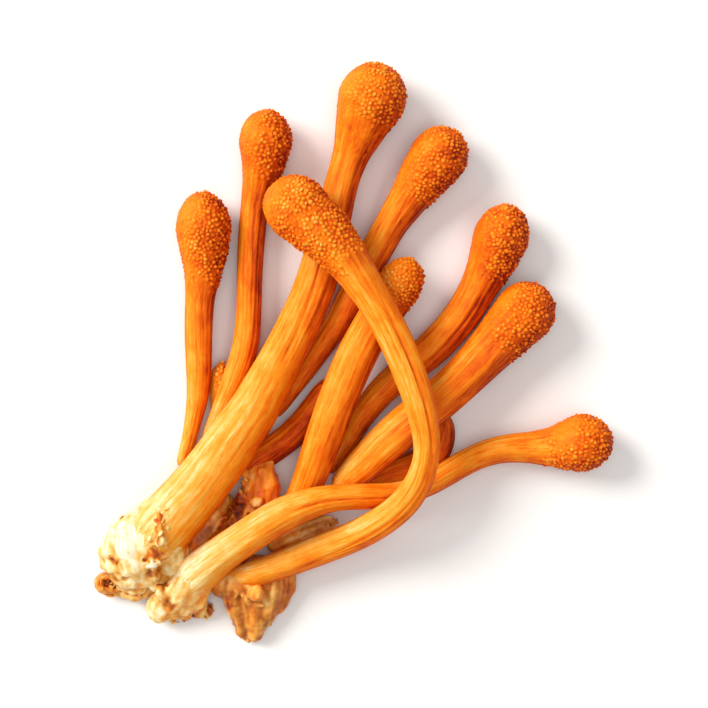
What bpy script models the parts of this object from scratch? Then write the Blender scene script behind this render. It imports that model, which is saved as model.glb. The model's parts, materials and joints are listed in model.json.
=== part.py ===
"""A bunch of cordyceps lying on its side: club-headed fruiting bodies grown from three rough bases."""

import math

import bmesh
import bpy
import numpy as np
from mathutils import Vector, noise

MM = 0.001
GAP = 0.3  # clear space kept between two touching pieces, mm
RINGS_APART = 2.4  # distance between the rings of a stem, mm
SIDES_LEVEL = 4  # bevel resolution: four gives twelve sides
ROOT_ROUNDING = 0.55  # length of a rounded root end, as a share of its radius
CLUMP_DIVISIONS = 3
CLUMP_ROUGHNESS = 0.42  # how far the bumps of a base stand out, mm
CLUMP_BUMP_SIZE = 2.6  # mm
FLOOR = 0.0
SIDEWAYS = 0.22  # puts the middle of the whole bunch over the origin, mm

# Each body is named, with the length of its rounded tip and the points of its centre line from
# the root to the middle of the head: x, y, height above the floor, radius, all in mm.
BODIES = {
    "fruiting_body_trunk": (4.4, [
        (-24.9, -22.9, 4.2, 3.30), (-23.4, -21.2, 4.3, 3.60), (-21.6, -19.2, 4.4, 3.60),
        (-19.4, -16.8, 4.6, 3.44), (-16.2, -12.8, 5.0, 3.30), (-13.8, -9.2, 5.3, 3.12),
        (-12.0, -6.8, 5.3, 2.98), (-10.4, -3.8, 5.1, 2.76), (-8.6, -0.4, 4.7, 2.60),
        (-6.8, 3.2, 4.2, 2.52), (-5.0, 7.2, 3.7, 2.46), (-3.8, 11.2, 3.3, 2.38),
        (-2.8, 15.2, 3.1, 2.16), (-2.0, 18.6, 3.0, 2.00), (-1.3, 21.2, 3.0, 2.00),
        (-0.5, 23.4, 3.2, 2.18), (0.6, 26.4, 3.7, 3.10), (1.8, 29.6, 4.15, 4.04),
    ]),
    "fruiting_body_far_left": (4.5, [
        (-20.5, -13.0, 1.0, 0.72), (-19.7, -10.8, 1.0, 0.84), (-19.1, -8.0, 1.3, 1.00),
        (-18.4, -5.0, 1.9, 1.30), (-18.3, -1.6, 2.4, 1.54), (-18.4, 2.6, 2.5, 1.66),
        (-18.2, 6.8, 2.6, 1.76), (-17.8, 9.6, 2.8, 2.20), (-17.7, 12.0, 3.1, 2.80),
        (-17.8, 14.5, 3.4, 3.26),
    ]),
    "fruiting_body_left": (3.8, [
        (-17.6, -10.2, 1.2, 0.75), (-16.9, -9.0, 1.4, 0.92), (-16.2, -7.7, 1.6, 1.10),
        (-15.2, -5.4, 2.15, 1.30), (-13.9, -2.4, 2.6, 1.50), (-12.8, 1.2, 2.6, 1.54),
        (-12.5, 5.2, 2.4, 1.50), (-12.4, 9.6, 2.2, 1.52), (-12.2, 13.6, 2.1, 1.60),
        (-11.8, 17.6, 2.2, 1.70), (-11.2, 20.4, 2.5, 2.10), (-10.7, 22.6, 2.9, 2.64),
        (-10.6, 24.8, 3.25, 3.14),
    ]),
    "fruiting_body_top_right": (3.7, [
        (-9.4, -7.2, 0.95, 0.80), (-8.1, -5.0, 1.1, 1.00), (-6.4, -2.6, 1.35, 1.20),
        (-4.6, 0.0, 1.5, 1.36), (-3.0, 2.3, 1.6, 1.50), (-1.4, 4.7, 1.8, 1.70),
        (-0.2, 7.2, 1.95, 1.84), (1.1, 9.8, 2.0, 1.88), (2.6, 12.6, 2.2, 1.90),
        (4.2, 15.4, 2.5, 1.94), (6.0, 18.0, 2.8, 2.30), (7.8, 20.6, 3.2, 2.92),
        (9.6, 23.0, 3.5, 3.40),
    ]),
    "fruiting_body_middle": (3.4, [
        (-7.7, -18.9, 2.5, 1.50), (-6.6, -17.2, 2.9, 1.78), (-5.5, -14.8, 3.75, 1.92),
        (-4.4, -11.6, 5.0, 2.08), (-3.4, -8.8, 5.7, 2.20), (-2.0, -5.0, 6.1, 2.30),
        (0.0, -0.3, 5.3, 2.36), (1.9, 3.3, 4.6, 2.36), (3.7, 5.9, 4.4, 2.46),
        (5.1, 8.1, 4.5, 2.62),
    ]),
    "fruiting_body_right_slim": (4.2, [
        (-3.1, -13.7, 1.1, 0.90), (-2.2, -12.2, 1.2, 1.10), (-1.0, -10.2, 1.4, 1.30),
        (0.8, -7.1, 1.6, 1.50), (2.8, -4.5, 1.8, 1.66), (5.2, -2.4, 1.9, 1.80),
        (8.9, 0.5, 2.1, 2.04), (12.5, 4.5, 2.3, 2.10), (14.3, 7.6, 2.5, 2.22),
        (15.7, 10.2, 2.9, 2.66), (16.8, 13.5, 3.4, 3.26),
    ]),
    "fruiting_body_right_thick": (3.8, [
        (-1.9, -15.8, 3.3, 1.30), (-1.0, -14.9, 3.5, 1.66), (0.5, -13.3, 3.9, 2.00),
        (2.8, -11.0, 4.4, 2.25), (5.2, -8.8, 4.9, 2.38), (7.8, -6.8, 5.1, 2.40),
        (10.2, -4.9, 5.0, 2.40), (12.4, -2.9, 4.5, 2.44), (14.8, -0.4, 4.1, 2.64),
        (17.2, 2.2, 3.8, 3.04), (19.6, 4.8, 3.7, 3.56),
    ]),
    "fruiting_body_low_right": (3.9, [
        (-20.6, -27.8, 3.0, 2.20), (-19.6, -26.8, 3.3, 2.50), (-18.0, -25.1, 4.0, 2.46),
        (-15.6, -23.2, 5.0, 2.16), (-12.2, -20.9, 6.2, 2.10), (-8.4, -18.5, 7.0, 2.06),
        (-5.2, -17.1, 7.2, 1.80), (-2.2, -16.5, 7.0, 1.56), (0.8, -16.5, 6.4, 1.52),
        (3.4, -16.5, 5.1, 1.48), (5.4, -16.3, 4.4, 1.44), (7.4, -15.6, 4.0, 1.44),
        (9.2, -14.8, 3.6, 1.44), (11.0, -13.7, 3.2, 1.46), (13.0, -12.5, 2.8, 1.50),
        (15.0, -11.6, 2.6, 1.56), (17.2, -11.0, 2.5, 1.66), (20.2, -10.9, 2.6, 1.86),
        (22.8, -10.9, 2.9, 2.34), (26.1, -10.4, 3.55, 3.40),
    ]),
    "fruiting_body_curled": (4.0, [
        (-13.2, -26.3, 3.7, 1.30), (-11.6, -25.6, 3.8, 1.50), (-9.6, -24.9, 3.8, 1.64),
        (-6.8, -23.8, 4.0, 1.72), (-3.4, -22.5, 4.4, 1.76), (0.0, -21.1, 5.5, 1.76),
        (2.2, -19.9, 7.0, 1.74), (4.2, -18.5, 8.1, 1.72), (6.0, -16.9, 8.6, 1.70),
        (7.5, -14.5, 9.2, 1.58), (8.3, -11.6, 9.6, 1.48), (8.1, -8.8, 9.8, 1.58),
        (7.3, -5.4, 9.8, 1.74), (6.2, -2.2, 9.6, 1.86), (5.0, 0.7, 9.4, 1.90),
        (3.6, 3.6, 9.3, 1.90), (2.0, 6.4, 9.2, 1.96), (0.3, 9.0, 9.0, 2.20),
        (-1.8, 12.0, 9.2, 2.74), (-4.3, 14.6, 9.0, 3.34), (-6.9, 16.8, 8.4, 3.70),
    ]),
    "fruiting_body_rear": (1.4, [
        (-10.6, -11.9, 1.6, 1.30), (-9.2, -11.0, 1.7, 1.60), (-7.4, -9.6, 1.8, 1.68),
        (-5.7, -7.9, 1.8, 1.68), (-4.3, -5.8, 1.75, 1.66), (-3.2, -3.8, 1.7, 1.56),
    ]),
    "fruiting_body_bent_rear": (1.4, [
        (2.4, -15.2, 1.3, 1.15), (4.0, -14.4, 1.45, 1.36), (5.6, -13.5, 1.55, 1.48),
        (7.6, -12.2, 1.65, 1.56), (9.4, -10.4, 1.7, 1.60), (10.1, -8.9, 1.7, 1.58),
    ]),
    "bud_left": (1.0, [
        (-16.9, -5.6, 0.55, 0.42), (-16.6, -4.2, 0.7, 0.55), (-16.1, -2.6, 0.9, 0.80),
    ]),
    "torn_strip": (0.8, [
        (-9.3, -22.5, 1.2, 0.85), (-8.0, -21.9, 1.25, 1.10), (-5.2, -20.9, 1.3, 1.10),
        (-3.0, -20.1, 1.3, 0.95),
    ]),
}

# A base is a lumpy mass: centre, half sizes, and the turn of its length about the vertical,
# in mm and degrees.
CLUMPS = {
    "base_left": ((-26.2, -24.1, 2.9), (4.4, 3.8, 3.6), 45.0),
    "base_middle": ((-20.5, -28.9, 2.1), (3.7, 2.8, 2.8), 20.0),
    "base_right": ((-11.7, -28.2, 1.9), (5.8, 4.2, 2.4), 90.0),
    "base_upper": ((-12.0, -17.6, 1.7), (4.9, 3.2, 2.2), 75.0),
    "base_between": ((-17.0, -20.3, 1.6), (4.6, 2.3, 2.0), 48.0),
    "root_scrap": ((-28.6, -27.0, 1.0), (1.6, 1.3, 1.2), -15.0),
}

COLOURS = {
    "fruiting_body": (0.80, 0.26, 0.03, 1.0),
    "bud": (0.80, 0.26, 0.03, 1.0),
    "torn": (0.36, 0.16, 0.05, 1.0),
    "base": (0.78, 0.62, 0.32, 1.0),
    "root": (0.36, 0.16, 0.05, 1.0),
}


def smooth_line(points, apart):
    """Points about `apart` from each other on a smooth line through the given ones."""
    rows = np.array(points, float)
    ends = np.vstack([2 * rows[0] - rows[1], rows, 2 * rows[-1] - rows[-2]])
    line = []
    for i in range(1, len(ends) - 2):
        before, first, second, after = ends[i - 1:i + 3]
        steps = max(1, round(np.linalg.norm(second[:3] - first[:3]) / apart))
        for step in range(steps):
            t = step / steps
            line.append(0.5 * (
                2 * first + (second - before) * t
                + (2 * before - 5 * first + 4 * second - after) * t ** 2
                + (3 * first - before - 3 * second + after) * t ** 3
            ))
    line.append(rows[-1])
    return np.array(line)


def rounded_end(line, length, angles):
    """Rings that close the end of a line with a dome of the given length."""
    way = line[-1, :3] - line[-2, :3]
    way = way / np.linalg.norm(way)
    rings = []
    for angle in np.radians(angles):
        centre = line[-1, :3] + way * length * math.sin(angle)
        rings.append([*centre, line[-1, 3] * math.cos(angle)])
    return np.vstack([line, rings])


def material(name):
    made = bpy.data.materials.new(name + "_surface")
    made.use_nodes = True
    shader = made.node_tree.nodes["Principled BSDF"]
    shader.inputs["Base Color"].default_value = COLOURS[name.split("_")[0] if
        name.split("_")[0] in COLOURS else "fruiting_body"]
    shader.inputs["Roughness"].default_value = 0.6
    return made


def tube(name, tip, points, extra=0.0):
    """The object of one body. `extra` thickens it, for a cutter."""
    line = smooth_line(points, RINGS_APART)
    line = rounded_end(line, tip, (22, 42, 58, 71, 81, 87))
    line = rounded_end(line[::-1], line[0, 3] * ROOT_ROUNDING, (35, 62, 82))[::-1]
    curve = bpy.data.curves.new(name, "CURVE")
    curve.dimensions = "3D"
    curve.bevel_depth = MM
    curve.bevel_resolution = SIDES_LEVEL
    curve.use_fill_caps = True
    curve.render_resolution_u = 0
    spline = curve.splines.new("POLY")
    spline.points.add(len(line) - 1)
    for point, (x, y, z, radius) in zip(spline.points, line):
        point.co = ((x + SIDEWAYS) * MM, y * MM, z * MM, 1.0)
        point.radius = radius + extra
    return bpy.data.objects.new(name, curve)


def as_mesh(obj, collection):
    """The object's evaluated mesh as an object of its own, with the ends' caps sewn on."""
    collection.objects.link(obj)
    bpy.context.view_layer.update()
    graph = bpy.context.evaluated_depsgraph_get()
    mesh = bpy.data.meshes.new_from_object(obj.evaluated_get(graph))
    name = obj.name
    bpy.data.objects.remove(obj)
    sewn = bmesh.new()
    sewn.from_mesh(mesh)
    bmesh.ops.remove_doubles(sewn, verts=sewn.verts, dist=1e-7)
    sewn.to_mesh(mesh)
    sewn.free()
    made = bpy.data.objects.new(name, mesh)
    collection.objects.link(made)
    return made


def clump(name, centre, half, turn):
    """A lumpy mass, cut flat at the floor later on."""
    mesh = bpy.data.meshes.new(name)
    ball = bmesh.new()
    bmesh.ops.create_icosphere(ball, subdivisions=CLUMP_DIVISIONS, radius=1.0)
    angle = math.radians(turn)
    for vert in ball.verts:
        x, y, z = vert.co.x * half[0], vert.co.y * half[1], vert.co.z * half[2]
        place = Vector((
            centre[0] + SIDEWAYS + x * math.cos(angle) - y * math.sin(angle),
            centre[1] + x * math.sin(angle) + y * math.cos(angle),
            centre[2] + z,
        ))
        away = Vector((place.x - centre[0] - SIDEWAYS, place.y - centre[1], place.z - centre[2])).normalized()
        bump = noise.noise(place / CLUMP_BUMP_SIZE) * CLUMP_ROUGHNESS
        vert.co = (place + away * bump) * MM
    ball.to_mesh(mesh)
    ball.free()
    return bpy.data.objects.new(name, mesh)


def box(name, low, high):
    mesh = bpy.data.meshes.new(name)
    solid = bmesh.new()
    bmesh.ops.create_cube(solid, size=1.0)
    for vert in solid.verts:
        vert.co = [
            (a + (b - a) * (part + 0.5)) * MM for a, b, part in zip(low, high, vert.co)
        ]
    solid.to_mesh(mesh)
    solid.free()
    return bpy.data.objects.new(name, mesh)


def cut(obj, cutter):
    step = obj.modifiers.new("cut " + cutter.name[:40], "BOOLEAN")
    step.operation = "DIFFERENCE"
    step.solver = "EXACT"
    step.object = cutter


def main():
    for old in list(bpy.data.objects):
        bpy.data.objects.remove(old)
    bunch = bpy.data.collections.new("cordyceps_bunch")
    cutters = bpy.data.collections.new("cutters")
    bpy.context.scene.collection.children.link(bunch)
    bpy.context.scene.collection.children.link(cutters)

    for name, (tip, points) in BODIES.items():
        made = as_mesh(tube(name, tip, points), bunch)
        made.data.materials.append(material(name))

    under = box("under_floor", (-60, -60, -20), (60, 60, FLOOR))
    cutters.objects.link(under)
    made_clumps = {}
    for name, (centre, half, turn) in CLUMPS.items():
        made = clump(name, centre, half, turn)
        bunch.objects.link(made)
        made.data.materials.append(material(name))
        cut(made, under)
        made_clumps[name] = made

    def cutter_of(name):
        if name + "_space" not in cutters.objects:
            as_mesh(tube(name + "_space", *BODIES[name], GAP), cutters)
        return cutters.objects[name + "_space"]

    for name, others in (
        ("base_left", ("fruiting_body_trunk",)),
        ("base_middle", ("fruiting_body_low_right",)),
        ("base_right", ("fruiting_body_curled", "torn_strip")),
        ("base_upper", ("fruiting_body_trunk", "fruiting_body_rear", "fruiting_body_middle",
                        "torn_strip")),
        ("base_between", ("fruiting_body_trunk", "fruiting_body_low_right")),
    ):
        for other in others:
            cut(made_clumps[name], cutter_of(other))

    for name, other in (("base_left", "root_scrap"), ("base_between", "base_upper")):
        centre, half, turn = CLUMPS[other]
        wider = [size + GAP for size in half]
        around = clump(other + "_space", centre, wider, turn)
        cutters.objects.link(around)
        cut(made_clumps[name], around)

    for cutter in cutters.objects:
        cutter.hide_render = True
        cutter.display_type = "WIRE"
    cutters.hide_render = True


main()
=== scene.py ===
"""Cordyceps bunch: striated stems, granular heads and torn mycelium bases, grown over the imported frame."""

import heapq
import itertools
import json
import math

import bpy
import numpy as np
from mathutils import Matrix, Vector, kdtree, noise
from mathutils.bvhtree import BVHTree

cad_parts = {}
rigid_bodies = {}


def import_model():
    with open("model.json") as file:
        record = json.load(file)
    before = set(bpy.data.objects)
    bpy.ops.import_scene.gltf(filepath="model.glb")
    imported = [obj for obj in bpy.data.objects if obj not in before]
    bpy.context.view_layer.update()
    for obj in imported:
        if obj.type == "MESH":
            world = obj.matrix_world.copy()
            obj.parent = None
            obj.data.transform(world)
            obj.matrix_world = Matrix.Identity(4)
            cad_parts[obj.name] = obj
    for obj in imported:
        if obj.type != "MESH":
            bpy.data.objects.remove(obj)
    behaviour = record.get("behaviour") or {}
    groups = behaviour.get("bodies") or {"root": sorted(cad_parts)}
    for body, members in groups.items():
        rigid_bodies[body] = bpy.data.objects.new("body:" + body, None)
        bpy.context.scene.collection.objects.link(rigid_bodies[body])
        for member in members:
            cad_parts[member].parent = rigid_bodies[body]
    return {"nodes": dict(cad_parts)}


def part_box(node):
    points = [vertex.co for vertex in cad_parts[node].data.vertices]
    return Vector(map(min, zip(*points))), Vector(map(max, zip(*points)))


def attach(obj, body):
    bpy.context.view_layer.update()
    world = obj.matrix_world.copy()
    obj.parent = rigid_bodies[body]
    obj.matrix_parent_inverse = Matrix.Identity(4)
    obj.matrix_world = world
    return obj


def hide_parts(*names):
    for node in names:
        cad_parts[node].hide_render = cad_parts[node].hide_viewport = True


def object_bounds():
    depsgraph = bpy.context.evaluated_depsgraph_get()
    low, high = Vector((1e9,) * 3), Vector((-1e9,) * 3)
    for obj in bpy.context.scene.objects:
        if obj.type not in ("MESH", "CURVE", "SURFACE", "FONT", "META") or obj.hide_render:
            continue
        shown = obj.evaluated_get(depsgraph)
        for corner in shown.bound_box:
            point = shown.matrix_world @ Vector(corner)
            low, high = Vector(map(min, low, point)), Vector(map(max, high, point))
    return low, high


MM = 0.001
STEM_STEP = 0.32  # between the rings of a stem, mm
HEAD_STEP = 0.105  # between the points of a head, mm
GRANULE_APART = 0.41  # least distance between two granules, mm
GRANULE_RADIUS = 0.30  # mm
GRANULE_HEIGHT = 0.28  # mm
GRANULE_SINK = 0.35  # how deep the skin between packed granules lies, as a share of their height
TIP_GAP = 0.03  # from the first and the last ring to the body's end, mm
LOWEST = 0.02  # least height above the surface that the bunch lies on, mm
LINE_STEP = 0.5  # between the points of a centre line, mm
CUT_POINTS = 5  # points at a solid's root that give way to a longer root
JOIN_POINT = 20  # the point from which a line with a longer root stays as it was
SPARE_POINTS = 4  # points at the end of an evened root that aren't used
LIGHT_SIDE = np.array(Vector((-0.84, 0.5, 0.15)).normalized())
SMOOTH_SIDE = np.array([-0.85, 0.25, 0.05])  # the side of a head on which granules stay small
FLOOR_REACH = 900  # from the middle of the floor to its sides, mm
FILLED = 0.84  # the share of the picture's width that the bunch fills
LENS, SENSOR = 180, 36  # the camera's, mm

# For each body: how ripe it is at distances from its root in mm, from 0 for cream to 1 for dark
# red-orange; how deep its lengthwise folds are; and how far up its swelling the granules start.
LOOKS = {
    "fruiting_body_trunk": (
        ((0, 0.26), (5, 0.26), (9, 0.31), (18, 0.42), (32, 0.50), (46, 0.57), (58, 0.62)),
        1.4, 0.55,
    ),
    "fruiting_body_far_left": (((0, 0.36), (8, 0.50), (18, 0.60), (28, 0.65)), 0.9, 0.12),
    "fruiting_body_left": (((0, 0.34), (9, 0.48), (20, 0.65), (36, 0.66)), 1.0, 0.3),
    "fruiting_body_top_right": (((0, 0.66), (18, 0.62), (26, 0.60), (36, 0.67)), 1.0, 0.3),
    "fruiting_body_middle": (((0, 0.56), (12, 0.52), (22, 0.54), (28, 0.60)), 1.1, 0.3),
    "fruiting_body_right_slim": (((0, 0.62), (12, 0.58), (24, 0.63), (32, 0.70)), 1.0, 0.35),
    "fruiting_body_right_thick": (((0, 0.46), (8, 0.52), (20, 0.60), (30, 0.68)), 1.1, 0.25),
    "fruiting_body_low_right": (
        ((0, 0.17), (5, 0.19), (11, 0.33), (20, 0.47), (32, 0.50), (46, 0.53), (54, 0.65)),
        1.4, 0.3,
    ),
    "fruiting_body_curled": (
        ((0, 0.36), (6, 0.42), (11, 0.43), (16, 0.39), (26, 0.44), (36, 0.42), (43, 0.41), (52, 0.47),
         (58, 0.60), (66, 0.64)),
        1.1, 0.3,
    ),
    "fruiting_body_rear": (((0, 0.78), (12, 0.82)), 0.9, 0.3),
    "fruiting_body_bent_rear": (((0, 0.60), (6, 0.66), (10, 0.74)), 0.9, 0.3),
    "bud_left": (((0, 0.36), (3, 0.44), (6, 0.56)), 0.6, 0.2),
}

# Bodies that are fuller to the eye than their solids: x, y, z and radius in mm, from the root.
FULLER = {
    "fruiting_body_bent_rear": (
        (-0.6, -16.0, 1.20, 0.90), (2.2, -14.9, 1.40, 1.50), (4.8, -13.9, 1.55, 1.75),
        (7.4, -13.1, 1.60, 1.80), (9.4, -12.0, 1.65, 1.75), (10.3, -10.2, 1.70, 1.60),
        (10.4, -8.0, 1.70, 1.50), (9.6, -6.6, 1.70, 0.60),
    ),
    "bud_left": (
        (-16.4, -7.4, 0.80, 0.30), (-16.2, -6.2, 1.00, 0.75), (-15.9, -4.4, 1.20, 0.98),
        (-15.65, -2.9, 1.40, 1.22), (-15.55, -1.9, 1.45, 1.26), (-15.5, -0.9, 1.40, 0.40),
    ),
}

# Roots that run on into the tissue of their base, past the end of their solids: x, y, z and radius.
LONGER = {
    "fruiting_body_curled": ((-15.8, -26.5, 2.7, 1.2), (-13.6, -25.9, 3.2, 1.8)),
    "fruiting_body_rear": ((-13.4, -13.8, 1.6, 1.5), (-11.8, -12.4, 1.8, 1.9)),
}


def clear_scene():
    for old in list(bpy.data.objects):
        bpy.data.objects.remove(old)


def ease(low, high, value):
    """0 below low, 1 above high, and a smooth rise between them."""
    t = np.clip((np.asarray(value, float) - low) / (high - low), 0, 1)
    return t * t * (3 - 2 * t)


def unit(vectors):
    return vectors / np.maximum(np.linalg.norm(vectors, axis=-1, keepdims=True), 1e-12)


def cad_mesh(name):
    """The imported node's points, in mm, and its triangles, with shared points made one."""
    mesh = frame["nodes"][name].data
    mesh.calc_loop_triangles()
    points = np.empty(len(mesh.vertices) * 3)
    mesh.vertices.foreach_get("co", points)
    faces = np.empty(len(mesh.loop_triangles) * 3, np.int64)
    mesh.loop_triangles.foreach_get("vertices", faces)
    points = points.reshape(-1, 3) / MM
    _, first, index = np.unique(
        np.round(points, 3), axis=0, return_index=True, return_inverse=True
    )
    faces = index.reshape(-1)[faces].reshape(-1, 3)
    return points[first], faces[(faces != np.roll(faces, 1, axis=1)).all(axis=1)]


def distances(links, start):
    """The shortest way along the edges from one point to each other one."""
    far = [math.inf] * len(links)
    far[start] = 0.0
    queue = [(0.0, start)]
    while queue:
        so_far, here = heapq.heappop(queue)
        if so_far > far[here]:
            continue
        for there, length in links[here]:
            if so_far + length < far[there]:
                far[there] = so_far + length
                heapq.heappush(queue, (far[there], there))
    return np.array(far)


def blurred(values, sigma):
    """Values smoothed along their first axis, with both ends kept."""
    reach = max(1, int(3 * sigma))
    weights = np.exp(-0.5 * (np.arange(-reach, reach + 1) / sigma) ** 2)
    weights /= weights.sum()
    values = np.asarray(values, float)
    flat = values.reshape(len(values), -1)
    before = 2 * flat[0] - flat[1:reach + 1][::-1]
    after = 2 * flat[-1] - flat[-reach - 1:-1][::-1]
    padded = np.vstack([before, flat, after])
    soft = np.stack(
        [np.convolve(column, weights, "valid") for column in padded.T], axis=1
    )
    soft[0], soft[-1] = flat[0], flat[-1]
    return soft.reshape(values.shape)


def resampled(points, step):
    """Rows of x, y, z and any further values, spaced evenly by about `step` along their line."""
    gaps = np.linalg.norm(np.diff(points[:, :3], axis=0), axis=1)
    along = np.concatenate([[0], np.cumsum(gaps)])
    places = np.linspace(0, along[-1], max(8, int(round(along[-1] / step)) + 1))
    return np.stack([np.interp(places, along, column) for column in points.T], axis=1)


def directions(line):
    """The line's tangent at each point, and two sideways directions carried along it."""
    tangents = unit(np.gradient(line, axis=0))
    sides = np.empty_like(line)
    up = np.array([0.0, 0.0, 1.0])
    side = up - tangents[0] * (up @ tangents[0])
    for i, tangent in enumerate(tangents):
        side = side - tangent * (side @ tangent)
        side = side / np.linalg.norm(side)
        sides[i] = side
    return tangents, sides, np.cross(tangents, sides)


def centre_line(name, base):
    """The centre line of a node, from the end nearer the base, and its radius along it, in mm."""
    if name in FULLER:
        rows = resampled(np.array(FULLER[name]), LINE_STEP)
        rows[1:-1] = blurred(rows, 1.5)[1:-1]
        return rows[:, :3], rows[:, 3]
    points, faces = cad_mesh(name)
    edges = np.unique(
        np.sort(np.concatenate([faces[:, [0, 1]], faces[:, [1, 2]], faces[:, [2, 0]]]), axis=1),
        axis=0,
    )
    links = [[] for _ in points]
    for a, b in edges:
        length = float(np.linalg.norm(points[a] - points[b]))
        links[a].append((b, length))
        links[b].append((a, length))
    one = int(np.argmax(distances(links, 0)))
    from_one = distances(links, one)
    other = int(np.argmax(from_one))
    if np.linalg.norm(points[one] - base) > np.linalg.norm(points[other] - base):
        one, other = other, one
        from_one = distances(links, one)
    share = from_one / (from_one + distances(links, other))
    middles = [points[one]]
    for level in np.linspace(0.012, 0.988, 100):
        above = share[faces] > level
        crossed = above.any(axis=1) & ~above.all(axis=1)
        total, weight = np.zeros(3), 0.0
        for face in faces[crossed]:
            ends = []
            for a, b in ((0, 1), (1, 2), (2, 0)):
                first, second = share[face[a]], share[face[b]]
                if (first > level) != (second > level):
                    part = (level - first) / (second - first)
                    ends.append(points[face[a]] * (1 - part) + points[face[b]] * part)
            length = np.linalg.norm(ends[0] - ends[1])
            total += (ends[0] + ends[1]) / 2 * length
            weight += length
        if weight > 0:
            middles.append(total / weight)
    middles.append(points[other])
    line = blurred(resampled(np.array(middles), LINE_STEP), 2.5)
    tree = BVHTree.FromPolygons(points.tolist(), faces.tolist())
    turns = np.linspace(0, 2 * math.pi, 16, endpoint=False)
    for _ in range(2):
        _, sides, across = directions(line)
        moved = line.copy()
        radii = np.zeros(len(line))
        for i in range(1, len(line) - 1):
            found = []
            for turn in turns:
                way = sides[i] * math.cos(turn) + across[i] * math.sin(turn)
                hit = tree.ray_cast(Vector(line[i]), Vector(way))[0]
                if hit is not None:
                    found.append(np.array(hit))
            if len(found) > 11:
                found = np.array(found)
                moved[i] = found.mean(axis=0)
                radii[i] = np.linalg.norm(found - moved[i], axis=1).mean() * 1.012
            else:
                radii[i] = radii[i - 1]
        line = blurred(moved, 2.0)
    if name in LONGER:
        # The points that narrow to the solid's end give way to the longer root.
        own = np.column_stack([line, radii])
        root = np.vstack([np.array(LONGER[name]), own[CUT_POINTS:JOIN_POINT]])
        root = blurred(resampled(root, LINE_STEP), 3.0)
        rows = np.vstack([root[:-SPARE_POINTS], own[JOIN_POINT:]])
        line, radii = rows[:, :3], rows[:, 3]
    return line, radii


def outline(line, radii):
    """The profile from one end round to the other: place along the line and radius, evenly spaced."""
    gaps = np.linalg.norm(np.diff(line, axis=0), axis=1)
    along = np.concatenate([[0], np.cumsum(gaps)])
    radii = radii.copy()
    radii[0] = radii[-1] = 0.0
    shape = resampled(np.stack([along, radii, radii * 0], axis=1), 0.05)[:, :2]
    shape = blurred(shape, 9.0)
    shape[:, 1] = np.maximum(shape[:, 1], 0)
    return along, shape


def waves(rng, turns, along, orders, drift, strength):
    """Lengthwise folds: a sum of waves round the stem that wander and fade along it."""
    total = np.zeros((len(along), len(turns)))
    for order in orders:
        knots = max(3, int(along[-1] / drift) + 2)
        at = np.linspace(0, along[-1] + 1e-6, knots)
        phase = np.interp(along, at, rng.uniform(0, 2 * math.pi) + rng.normal(0, 0.8, knots).cumsum())
        size = np.interp(along, at, rng.uniform(0.15, 1.0, knots))
        total += size[:, None] * np.cos(order * turns[None, :] + phase[:, None])
    return total * strength / math.sqrt(len(orders))


def tree_of(points):
    tree = kdtree.KDTree(len(points))
    for i, point in enumerate(points):
        tree.insert(point, i)
    tree.balance()
    return tree


def scatter(points, apart, rng):
    """Places picked at random among the points, none closer to another than `apart`."""
    tree = tree_of(points)
    free = np.ones(len(points), bool)
    chosen = []
    for i in rng.permutation(len(points)):
        if free[i]:
            chosen.append(i)
            for _, j, _ in tree.find_range(points[i], apart):
                free[j] = False
    return np.array(chosen)


def noise_at(points, size, seed):
    shift = Vector((seed * 7.13, seed * 3.71, seed * 5.37))
    return np.array([noise.noise(Vector(p) / size + shift) for p in points])


def make_object(name, points, faces, fields, vectors=()):
    mesh = bpy.data.meshes.new(name)
    mesh.from_pydata((points * MM).tolist(), [], [list(face) for face in faces])
    mesh.polygons.foreach_set("use_smooth", np.ones(len(mesh.polygons), bool))
    for field, values in fields.items():
        layer = mesh.attributes.new(field, "FLOAT", "POINT")
        layer.data.foreach_set("value", np.asarray(values, np.float32))
    for field, values in dict(vectors).items():
        layer = mesh.attributes.new(field, "FLOAT_VECTOR", "POINT")
        layer.data.foreach_set("vector", np.asarray(values, np.float32).ravel())
    mesh.update()
    made = bpy.data.objects.new(name, mesh)
    bpy.context.scene.collection.objects.link(made)
    return made


def grooves(rng, turns, along, count, depth):
    """Narrow creases that run along a stem for a while and wander a little round it."""
    total = np.zeros((len(along), len(turns)))
    for _ in range(count):
        length = rng.uniform(0.25, 0.8) * along[-1]
        start = rng.uniform(-0.1, 0.75) * along[-1]
        at = rng.uniform(0, 2 * math.pi) + 0.12 * np.sin(along / rng.uniform(3, 7) + rng.uniform(0, 6))
        fade = ease(start, start + 3, along) * ease(start + length, start + length - 4, along)
        apart = (turns[None, :] - at[:, None] + math.pi) % (2 * math.pi) - math.pi
        total += fade[:, None] * np.exp(-(apart / rng.uniform(0.07, 0.13)) ** 2) * rng.uniform(0.5, 1)
    return total * depth


def head_share(start, shape):
    """How far each place of a profile belongs to the head, from 0 to 1, and the widest radius. The
    head begins at the share `start` of the swelling from the neck to the widest place."""
    later = int(len(shape) * 0.6)
    widest_at = later + int(np.argmax(shape[later:, 1]))
    widest = shape[widest_at, 1]
    third = len(shape) // 3
    neck_at = third + int(np.argmin(shape[third:widest_at, 1])) if widest_at > third + 2 else third
    neck = shape[neck_at, 1]
    if widest <= 1.25 * neck:
        length = shape[-1, 0]
        return ease(length - 2.5 * widest, length - 1.7 * widest, shape[:, 0]), widest
    swelling = (shape[:, 1] - neck) / max(widest - neck, 1e-6)
    head = ease(start, start + 0.4, swelling)
    bare = np.nonzero(swelling[:widest_at] < 0.05)[0]
    head[:max(neck_at, bare[-1] if len(bare) else 0)] = 0.0
    head[widest_at:] = 1.0
    return head, widest


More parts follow.
